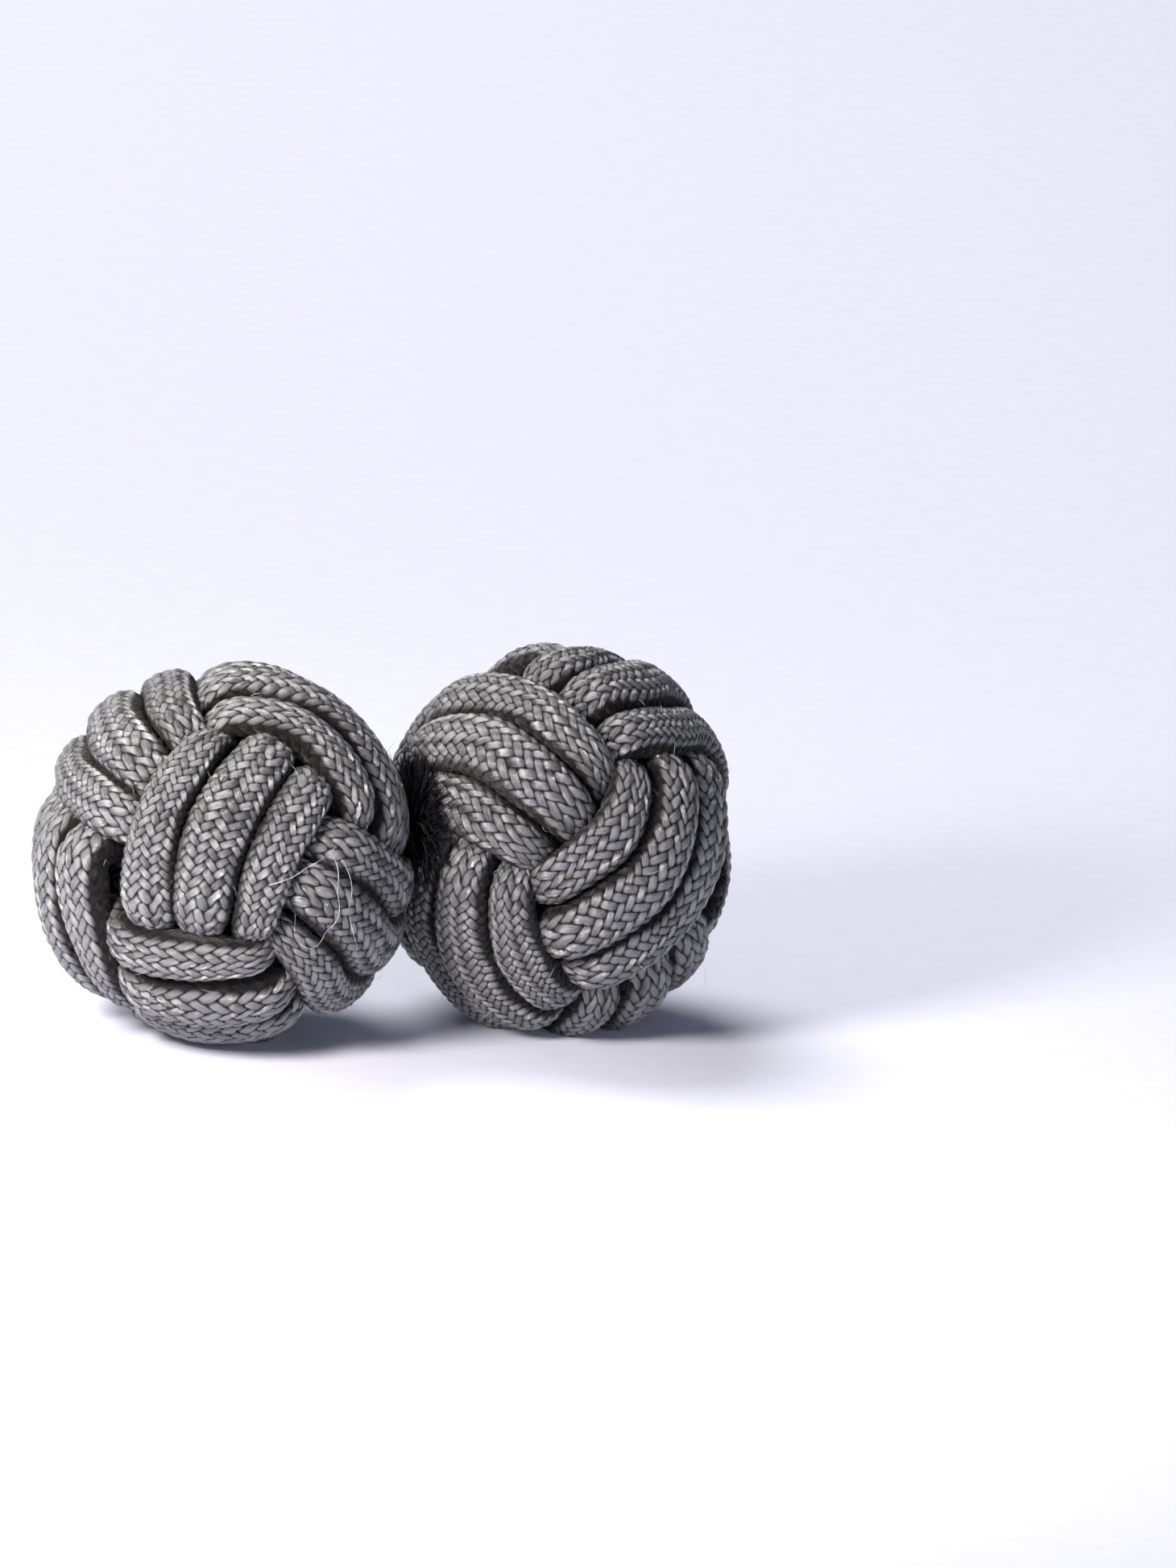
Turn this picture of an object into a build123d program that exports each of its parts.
from build123d import *
import math
import os

import numpy as np

# Knot cufflink: two balls tied from braided cord, held together by a short link of cords.
# Millimetres, +Z up, +X from the left ball to the right one, origin under the middle.

os.makedirs("parts", exist_ok=True)

# Driving sizes
BALL_RADIUS = 6.4          # centre of an even ball to the crown of its strands
CORD_THICKNESS = 1.5       # of one strand, through the ball's wall
PITCH_OVER = 20.0          # degrees from one strand to the next where they pass on top
PITCH_UNDER = 15.5         # degrees from one strand to the next where they are squeezed below
WIDTH_SHARE = 0.97         # of the pitch that a strand fills
LAYER_GAP = 0.04           # between a strand on top and the one that it crosses
SIDE_SLACK = 0.16          # between neighbours where the strands crowd
THINNEST = 0.2             # of its own section, where a strand is squeezed hardest
DIVE_REACH = 11.0          # degrees before a strand passes below, where it is halfway down
STEEPNESS = 1.2            # how soon a strand dives from the top to below
SECTION_FILL = 0.96        # of the room that a faceted section takes up
REST_DEPTH = 0.3           # how far the soft cord gives where a ball rests
PRESS_DEPTH = 0.3          # how far each ball gives where the link holds it to the other
CORE_GAP = 0.1             # between a core and the strands, and the end of the link cord
LINK_CORD_RADIUS = 0.62    # of the link cord in the open, between the balls
LINK_OPEN_LENGTH = 1.2
LINK_NECK_RADIUS = 0.35    # of the link cord where the strands squeeze it
LINK_CLEARANCE = 0.8       # from the link cord to the strands that it parts
LINK_FORWARD = 0.95        # of the link's bend in front of the balls' centres
LINK_RISE = 0.82           # of the link's bend above the balls' centres
LINK_BEND_RADIUS = 4.0
FRAY_THICKNESS = 0.26      # of the frayed ends, pressed between the balls
FRAY_GAP = 0.06            # from the frayed ends to the link cord and to each ball
FRAY_WALL = 0.32           # of the frayed ends' head, round the link cord
FRAY_REACH = 2.6           # of the longest lock, from the link's axis
FRAY_TIP_RADIUS = 0.04

# A Turk's head of four leads and three bights, its single lead followed three times
LEADS = 4
BIGHTS = 3
LANES = (-1, 0, 1)
LANE_NAMES = ("outer", "middle", "inner")

# Fineness of the strands
SPAN_POINTS = 40           # along the route, from one crossing to the next
SECTIONS = 144             # round a whole strand
FINE = 3                   # steps to a section where the squeeze is worked out
SIDES = 8                  # of a strand's section
SEARCH_SHARE = 0.62        # of a span, each way, where two strands' own crossing is looked for
OWN_STRETCH = math.pi / 4  # along a strand, within which it can't crowd itself

# Each ball: its side, how far its route swings from the equator (radians), its stretch
# along X, Y and Z, and its attitude in degrees (where its pole points, and its spin)
BALLS = {
    "left": dict(side=-1, swing=1.20, stretch=(1.02, 1.02, 1.02), pole_azimuth=-62, pole_elevation=29, spin=-125),
    "right": dict(side=1, swing=1.25, stretch=(0.97, 0.99, 1.07), pole_azimuth=-116, pole_elevation=1, spin=175),
}

# Where the tying pulled a crossing from its even place, in degrees towards the east and
# the north of the ball, and how far its upper strands turn counter-clockwise
PULLS = {
    "left": (
        # crossing, east, north, turn
        (0, -4, -8, -30),
        (1, 14, -8, 0),
        (2, -2, 2, 0),
        (4, -3, 0, 0),
        (6, 0, 5, 0),
        (7, 8, -4, -20),
    ),
    "right": (
        # crossing, east, north, turn
        (0, -4, 2, 0),
        (2, -5, 1, -14),
        (4, -4, 2, -8),
        (6, -12, -2, -20),
        (7, 3, 9, 25),
    ),
}

# The frayed ends' locks: degrees round the link, from the back over the top to the front,
# and the share of the full reach
FRAY_LOCKS = (
    # round, reach
    (18, 0.80),
    (41, 0.93),
    (63, 1.00),
    (82, 0.90),
    (101, 0.97),
    (124, 1.00),
    (147, 0.85),
    (171, 0.94),
    (196, 0.80),
)


def unit(vectors):
    """Vectors, one to a row, at length 1."""
    return vectors / np.linalg.norm(vectors, axis=-1, keepdims=True)


def smooth(share):
    """An even rise from 0 to 1."""
    share = np.clip(share, 0, 1)
    return share * share * (3 - 2 * share)


def turned(vector, axis, degrees):
    """A vector at right angles to an axis, turned about it."""
    angle = math.radians(degrees)
    return vector * math.cos(angle) + np.cross(axis, vector) * math.sin(angle)


def route_direction(time, swing):
    """Where the route passes at a time, from the middle of its ball."""
    rise = swing * math.cos(BIGHTS * time / LEADS)
    return np.array([math.cos(rise) * math.cos(time), math.cos(rise) * math.sin(time), math.sin(rise)])


def crossing_times():
    """The two times at which the route passes each crossing."""
    whole = 2 * math.pi * LEADS
    found = []
    for loops in range(1, LEADS):
        for step in range(LEADS * LEADS):
            first = math.pi * (step * LEADS / BIGHTS - loops)
            second = first + 2 * math.pi * loops
            at_bight = abs(math.cos(BIGHTS * first / LEADS)) > 0.999
            if first > -1e-9 and second < whole - 1e-9 and not at_bight:
                found.append((first, second))
    return found


def attitude(pole_azimuth, pole_elevation, spin):
    """The turn from a ball's own axes to the part's, one axis to a column."""
    azimuth = math.radians(pole_azimuth)
    elevation = math.radians(pole_elevation)
    pole = np.array(
        [math.cos(azimuth) * math.cos(elevation), math.sin(azimuth) * math.cos(elevation), math.sin(elevation)]
    )
    east = np.array([-math.sin(azimuth), math.cos(azimuth), 0.0])
    first = turned(east, pole, spin)
    return np.stack([first, np.cross(pole, first), pole], 1)


def pulled(direction, east_degrees, north_degrees):
    """A direction moved on its ball, as the tying pulled it."""
    east = unit(np.array([-direction[1], direction[0], 0.0]))
    north = np.cross(direction, east)
    moved = direction + math.tan(math.radians(east_degrees)) * east
    return unit(moved + math.tan(math.radians(north_degrees)) * north)


class Ball:
    """One ball's three strands, as directions from its middle with a depth for each."""

    def __init__(self, shape, pulls):
        self.half_pitch = math.radians(PITCH_OVER + PITCH_UNDER) / 2
        self.pitch_swing = math.radians(PITCH_OVER - PITCH_UNDER) / 2
        self.place_crossings(shape, pulls)
        self.draw_route()
        self.offset_lanes()
        self.find_depths()

    def place_crossings(self, shape, pulls):
        """Each pass of the route over or under a crossing, in order."""
        pairs = crossing_times()
        turn = attitude(shape["pole_azimuth"], shape["pole_elevation"], shape["spin"])
        places = [turn @ route_direction(first, shape["swing"]) for first, _ in pairs]
        upper_turns = [0.0] * len(pairs)
        for crossing, east, north, upper_turn in pulls:
            places[crossing] = pulled(places[crossing], east, north)
            upper_turns[crossing] = upper_turn
        passes = sorted((time, crossing) for crossing, pair in enumerate(pairs) for time in pair)
        self.crossing = [crossing for _, crossing in passes]
        self.level = [1 if index % 2 == 0 else -1 for index in range(len(passes))]
        self.place = [places[crossing] for crossing in self.crossing]
        self.turn = [upper_turns[c] if up > 0 else 0.0 for c, up in zip(self.crossing, self.level)]

    def heading(self, index):
        """The route's direction of travel at one pass."""
        before, here, after = (self.place[(index + step) % len(self.place)] for step in (-1, 0, 1))
        come = np.linalg.norm(here - before)
        go = np.linalg.norm(after - here)
        heading = ((here - before) / come * go + (after - here) / go * come) / (come + go)
        across = heading - here * (heading @ here)
        return turned(across, here, self.turn[index]) + here * (heading @ here)

    def draw_route(self):
        """The middle strand's line, as a smooth curve through every pass."""
        count = len(self.place)
        headings = [self.heading(index) for index in range(count)]
        route = []
        height = []
        for index in range(count):
            after = (index + 1) % count
            start, end = self.place[index], self.place[after]
            chord = np.linalg.norm(end - start)
            for step in range(SPAN_POINTS):
                u = step / SPAN_POINTS
                route.append(
                    (2 * u**3 - 3 * u**2 + 1) * start
                    + (u**3 - 2 * u**2 + u) * chord * headings[index]
                    + (3 * u**2 - 2 * u**3) * end
                    + (u**3 - u**2) * chord * headings[after]
                )
                height.append(self.level[index] + (self.level[after] - self.level[index]) * smooth(u))
        self.route = unit(np.array(route))
        self.height = np.array(height)

    def offset_lanes(self):
        """The three strands, side by side, and the angle travelled along each."""
        travel = unit(np.roll(self.route, -1, 0) - np.roll(self.route, 1, 0))
        side = unit(np.cross(travel, self.route))
        self.lane = {}
        for lane in LANES:
            offset = np.tan(lane * (self.half_pitch + self.pitch_swing * self.height))
            line = unit(self.route + offset[:, None] * side)
            steps = np.arccos(np.clip((line * np.roll(line, -1, 0)).sum(1), -1, 1))
            self.lane[lane] = (line, np.concatenate([[0], np.cumsum(steps)]))

    def find_depths(self):
        """Where each strand truly passes over or under each other one."""
        whole = len(self.route)
        reach = int(SPAN_POINTS * SEARCH_SHARE)
        window = range(-reach, reach + 1)
        self.passes = {lane: [] for lane in LANES}
        for crossing in sorted(set(self.crossing)):
            both = [index for index, other in enumerate(self.crossing) if other == crossing]
            over, under = sorted(both, key=lambda index: -self.level[index])
            over_at = np.array([(over * SPAN_POINTS + step) % whole for step in window])
            under_at = np.array([(under * SPAN_POINTS + step) % whole for step in window])
            for upper in LANES:
                for lower in LANES:
                    upper_line, upper_travel = self.lane[upper]
                    lower_line, lower_travel = self.lane[lower]
                    closeness = upper_line[over_at] @ lower_line[under_at].T
                    row, column = np.unravel_index(np.argmax(closeness), closeness.shape)
                    self.passes[upper].append((upper_travel[over_at[row]], 1.0))
                    self.passes[lower].append((lower_travel[under_at[column]], -1.0))
        for lane in LANES:
            self.passes[lane].sort()

    def sampled(self, lane):
        """A strand at even steps: directions, height from -1 to 1, angle travelled and whole."""
        line, travel = self.lane[lane]
        whole = travel[-1]
        at = np.linspace(0, whole, SECTIONS * FINE, endpoint=False)
        closed = np.vstack([line, line[:1]])
        directions = unit(np.stack([np.interp(at, travel, closed[:, axis]) for axis in range(3)], -1))
        places = np.array([place for place, _ in self.passes[lane]])
        levels = np.array([level for _, level in self.passes[lane]])
        places = np.concatenate([[places[-1] - whole], places, [places[0] + whole]])
        levels = np.concatenate([[levels[-1]], levels, [levels[0]]])
        index = np.clip(np.searchsorted(places, at, side="right") - 1, 0, len(places) - 2)
        span = np.maximum(places[index + 1] - places[index], 1e-6)
        from_under = np.minimum(span / 2, math.radians(DIVE_REACH))
        halfway = places[index] + np.where(levels[index] > 0, span - from_under, from_under)
        share = (at - halfway) / (2 * from_under) * STEEPNESS + 0.5
        height = levels[index] + (levels[index + 1] - levels[index]) * smooth(share)
        return directions, height, at, whole


def squeeze(directions, radius, width, lane, at, whole):
    """The share of its full section that each step of the strands has room for."""
    apart = np.arccos(np.clip(directions @ directions.T, -1, 1))
    beside = apart * (radius[:, None] + radius[None, :]) / 2
    above = np.abs(radius[:, None] - radius[None, :])
    room = (width[:, None] + width[None, :]) / 2 + SIDE_SLACK
    share = np.sqrt((above / (CORD_THICKNESS + SIDE_SLACK)) ** 2 + (beside / room) ** 2)
    gone = np.abs(at[:, None] - at[None, :])
    gone = np.minimum(gone, whole[:, None] - gone)
    share[(lane[:, None] == lane[None, :]) & (gone < OWN_STRETCH)] = 1
    return np.clip(share.min(1), THINNEST, 1)


def inner_radius():
    """From an even ball's centre to the underside of its lower strands."""
    return BALL_RADIUS - 2 * CORD_THICKNESS - LAYER_GAP


def core_radius(shape):
    """The largest round core that clears a ball's strands."""
    return inner_radius() * min(shape["stretch"]) - CORE_GAP


def strand_rings(shape, pulls):
    """Each strand of a ball as rings of points, one ring to a section."""
    ball = Ball(shape, pulls)
    top = BALL_RADIUS - CORD_THICKNESS / 2
    bottom = inner_radius() + CORD_THICKNESS / 2
    samples = {lane: ball.sampled(lane) for lane in LANES}
    directions = np.vstack([samples[lane][0] for lane in LANES])
    height = np.concatenate([samples[lane][1] for lane in LANES])
    at = np.concatenate([samples[lane][2] for lane in LANES])
    whole = np.concatenate([np.full(SECTIONS * FINE, samples[lane][3]) for lane in LANES])
    lane_of = np.repeat(LANES, SECTIONS * FINE)
    radius = bottom + (top - bottom) * (height + 1) / 2
    width = 2 * np.tan((ball.half_pitch + ball.pitch_swing * height) / 2) * radius * WIDTH_SHARE
    share = squeeze(directions, radius, width, lane_of, at, whole)
    around = [2 * math.pi * (corner + 0.5) / SIDES for corner in range(SIDES)]
    bulge = SECTION_FILL / math.cos(math.pi / SIDES)
    rings = {}
    for lane in LANES:
        mine = lane_of == lane
        own_share = share[mine]
        near = np.stack([np.roll(own_share, step) for step in range(-FINE, FINE + 1)]).min(0)[::FINE]
        out = directions[mine][::FINE]
        centre = out * radius[mine][::FINE, None]
        travel = unit(np.roll(centre, -1, 0) - np.roll(centre, 1, 0))
        side = unit(np.cross(travel, out))
        up = np.cross(side, travel)
        half_width = width[mine][::FINE] / 2 * near * bulge
        half_height = CORD_THICKNESS / 2 * near * bulge
        rings[lane] = np.stack(
            [
                centre
                + side * (half_width * math.cos(angle))[:, None]
                + up * (half_height * math.sin(angle))[:, None]
                for angle in around
            ],
            1,
        ) * np.array(shape["stretch"])
    return rings


def parted(points, axis, opening):
    """Points pushed aside from an axis through the ball's middle, as a needle parts strands."""
    along = points @ axis
    across = points - along[..., None] * axis
    distance = np.linalg.norm(across, axis=-1)
    room = opening * smooth(along / inner_radius())
    wider = np.sqrt(distance**2 + room**2)
    return along[..., None] * axis + across * (wider / distance)[..., None]


def closed_strand(rings):
    """A solid ring of triangles through a strand's sections."""
    corners = [[Vector(*point) for point in ring] for ring in rings]
    faces = []
    for section, ring in enumerate(corners):
        following = corners[(section + 1) % len(corners)]
        for corner, start in enumerate(ring):
            beside = (corner + 1) % SIDES
            for points in (
                (start, following[corner], ring[beside]),
                (ring[beside], following[corner], following[beside]),
            ):
                faces.append(Face(Wire.make_polygon(points, close=True)))
    return Solid(Shell(faces))


def link_cord(left_start, bend, right_end):
    """A cord from core to core: thin where the strands squeeze it, full between the balls."""
    path = FilletPolyline(left_start, bend, right_end, radius=LINK_BEND_RADIUS)
    neck = sweep(Plane(path @ 0, z_dir=path % 0) * Circle(LINK_NECK_RADIUS), path)
    swell = Plane(path @ 0.5, z_dir=path % 0.5) * Cylinder(LINK_CORD_RADIUS, LINK_OPEN_LENGTH)
    return neck + swell


def frayed_ends(centre):
    """Combed-out cord ends pressed between the balls: a flat ring with locks fused to it."""
    hole = LINK_CORD_RADIUS + FRAY_GAP
    ring = Cylinder(hole + FRAY_WALL, FRAY_THICKNESS) - Cylinder(hole, FRAY_THICKNESS)
    root = hole + FRAY_WALL / 2
    for degrees, share in FRAY_LOCKS:
        length = FRAY_REACH * share - root
        lock = Cone(FRAY_THICKNESS / 2, FRAY_TIP_RADIUS, length)
        ring += Rot(0, 0, degrees) * Pos(root + length / 2, 0, 0) * Rot(0, 90, 0) * lock
    return Pos(*centre) * (Plane.YZ * ring)


def laid_balls():
    """Both balls' strands where they rest, with the balls' centres and the link's bend."""
    rings = {side: strand_rings(shape, PULLS[side]) for side, shape in BALLS.items()}
    half_gap = FRAY_THICKNESS / 2 + FRAY_GAP
    centres = {}
    for side, shape in BALLS.items():
        every = np.vstack([lane.reshape(-1, 3) for lane in rings[side].values()])
        inward = (-shape["side"] * every[:, 0]).max() - PRESS_DEPTH
        centres[side] = np.array([shape["side"] * (half_gap + inward), 0, -every[:, 2].min() - REST_DEPTH])
    middle = sum(centre[2] for centre in centres.values()) / len(centres)
    bend = np.array([0, -LINK_FORWARD, middle + LINK_RISE])
    placed = {}
    for side, shape in BALLS.items():
        axis = unit(bend - centres[side])
        nearer = np.minimum if shape["side"] < 0 else np.maximum
        for lane, points in rings[side].items():
            strand = parted(points, axis, LINK_CORD_RADIUS + LINK_CLEARANCE) + centres[side]
            strand[..., 2] = np.maximum(strand[..., 2], 0)
            strand[..., 0] = nearer(strand[..., 0], shape["side"] * half_gap)
            placed[side, lane] = strand
    return placed, centres, bend


def main():
    placed, centres, bend = laid_balls()
    every = np.vstack([strand.reshape(-1, 3) for strand in placed.values()])
    middle = (every.min(0) + every.max(0)) / 2
    move = np.array([-middle[0], -middle[1], 0])
    for (side, lane), strand in placed.items():
        name = f"{side}_{LANE_NAMES[lane + 1]}_strand"
        export_step(closed_strand(strand + move), f"parts/{name}.step")
    ends = []
    for side, centre in centres.items():
        radius = core_radius(BALLS[side])
        ends.append(centre + unit(bend - centre) * (radius + CORE_GAP) + move)
        export_step(Pos(*(centre + move)) * Sphere(radius), f"parts/{side}_core.step")
        print(side, "ball centre", (centre + move).round(2), "core radius", round(radius, 2))
    export_step(link_cord(tuple(ends[0]), tuple(bend + move), tuple(ends[1])), "parts/link_cord.step")
    export_step(frayed_ends(bend + move), "parts/link_fray.step")
    print("link bend", (bend + move).round(2))


main()
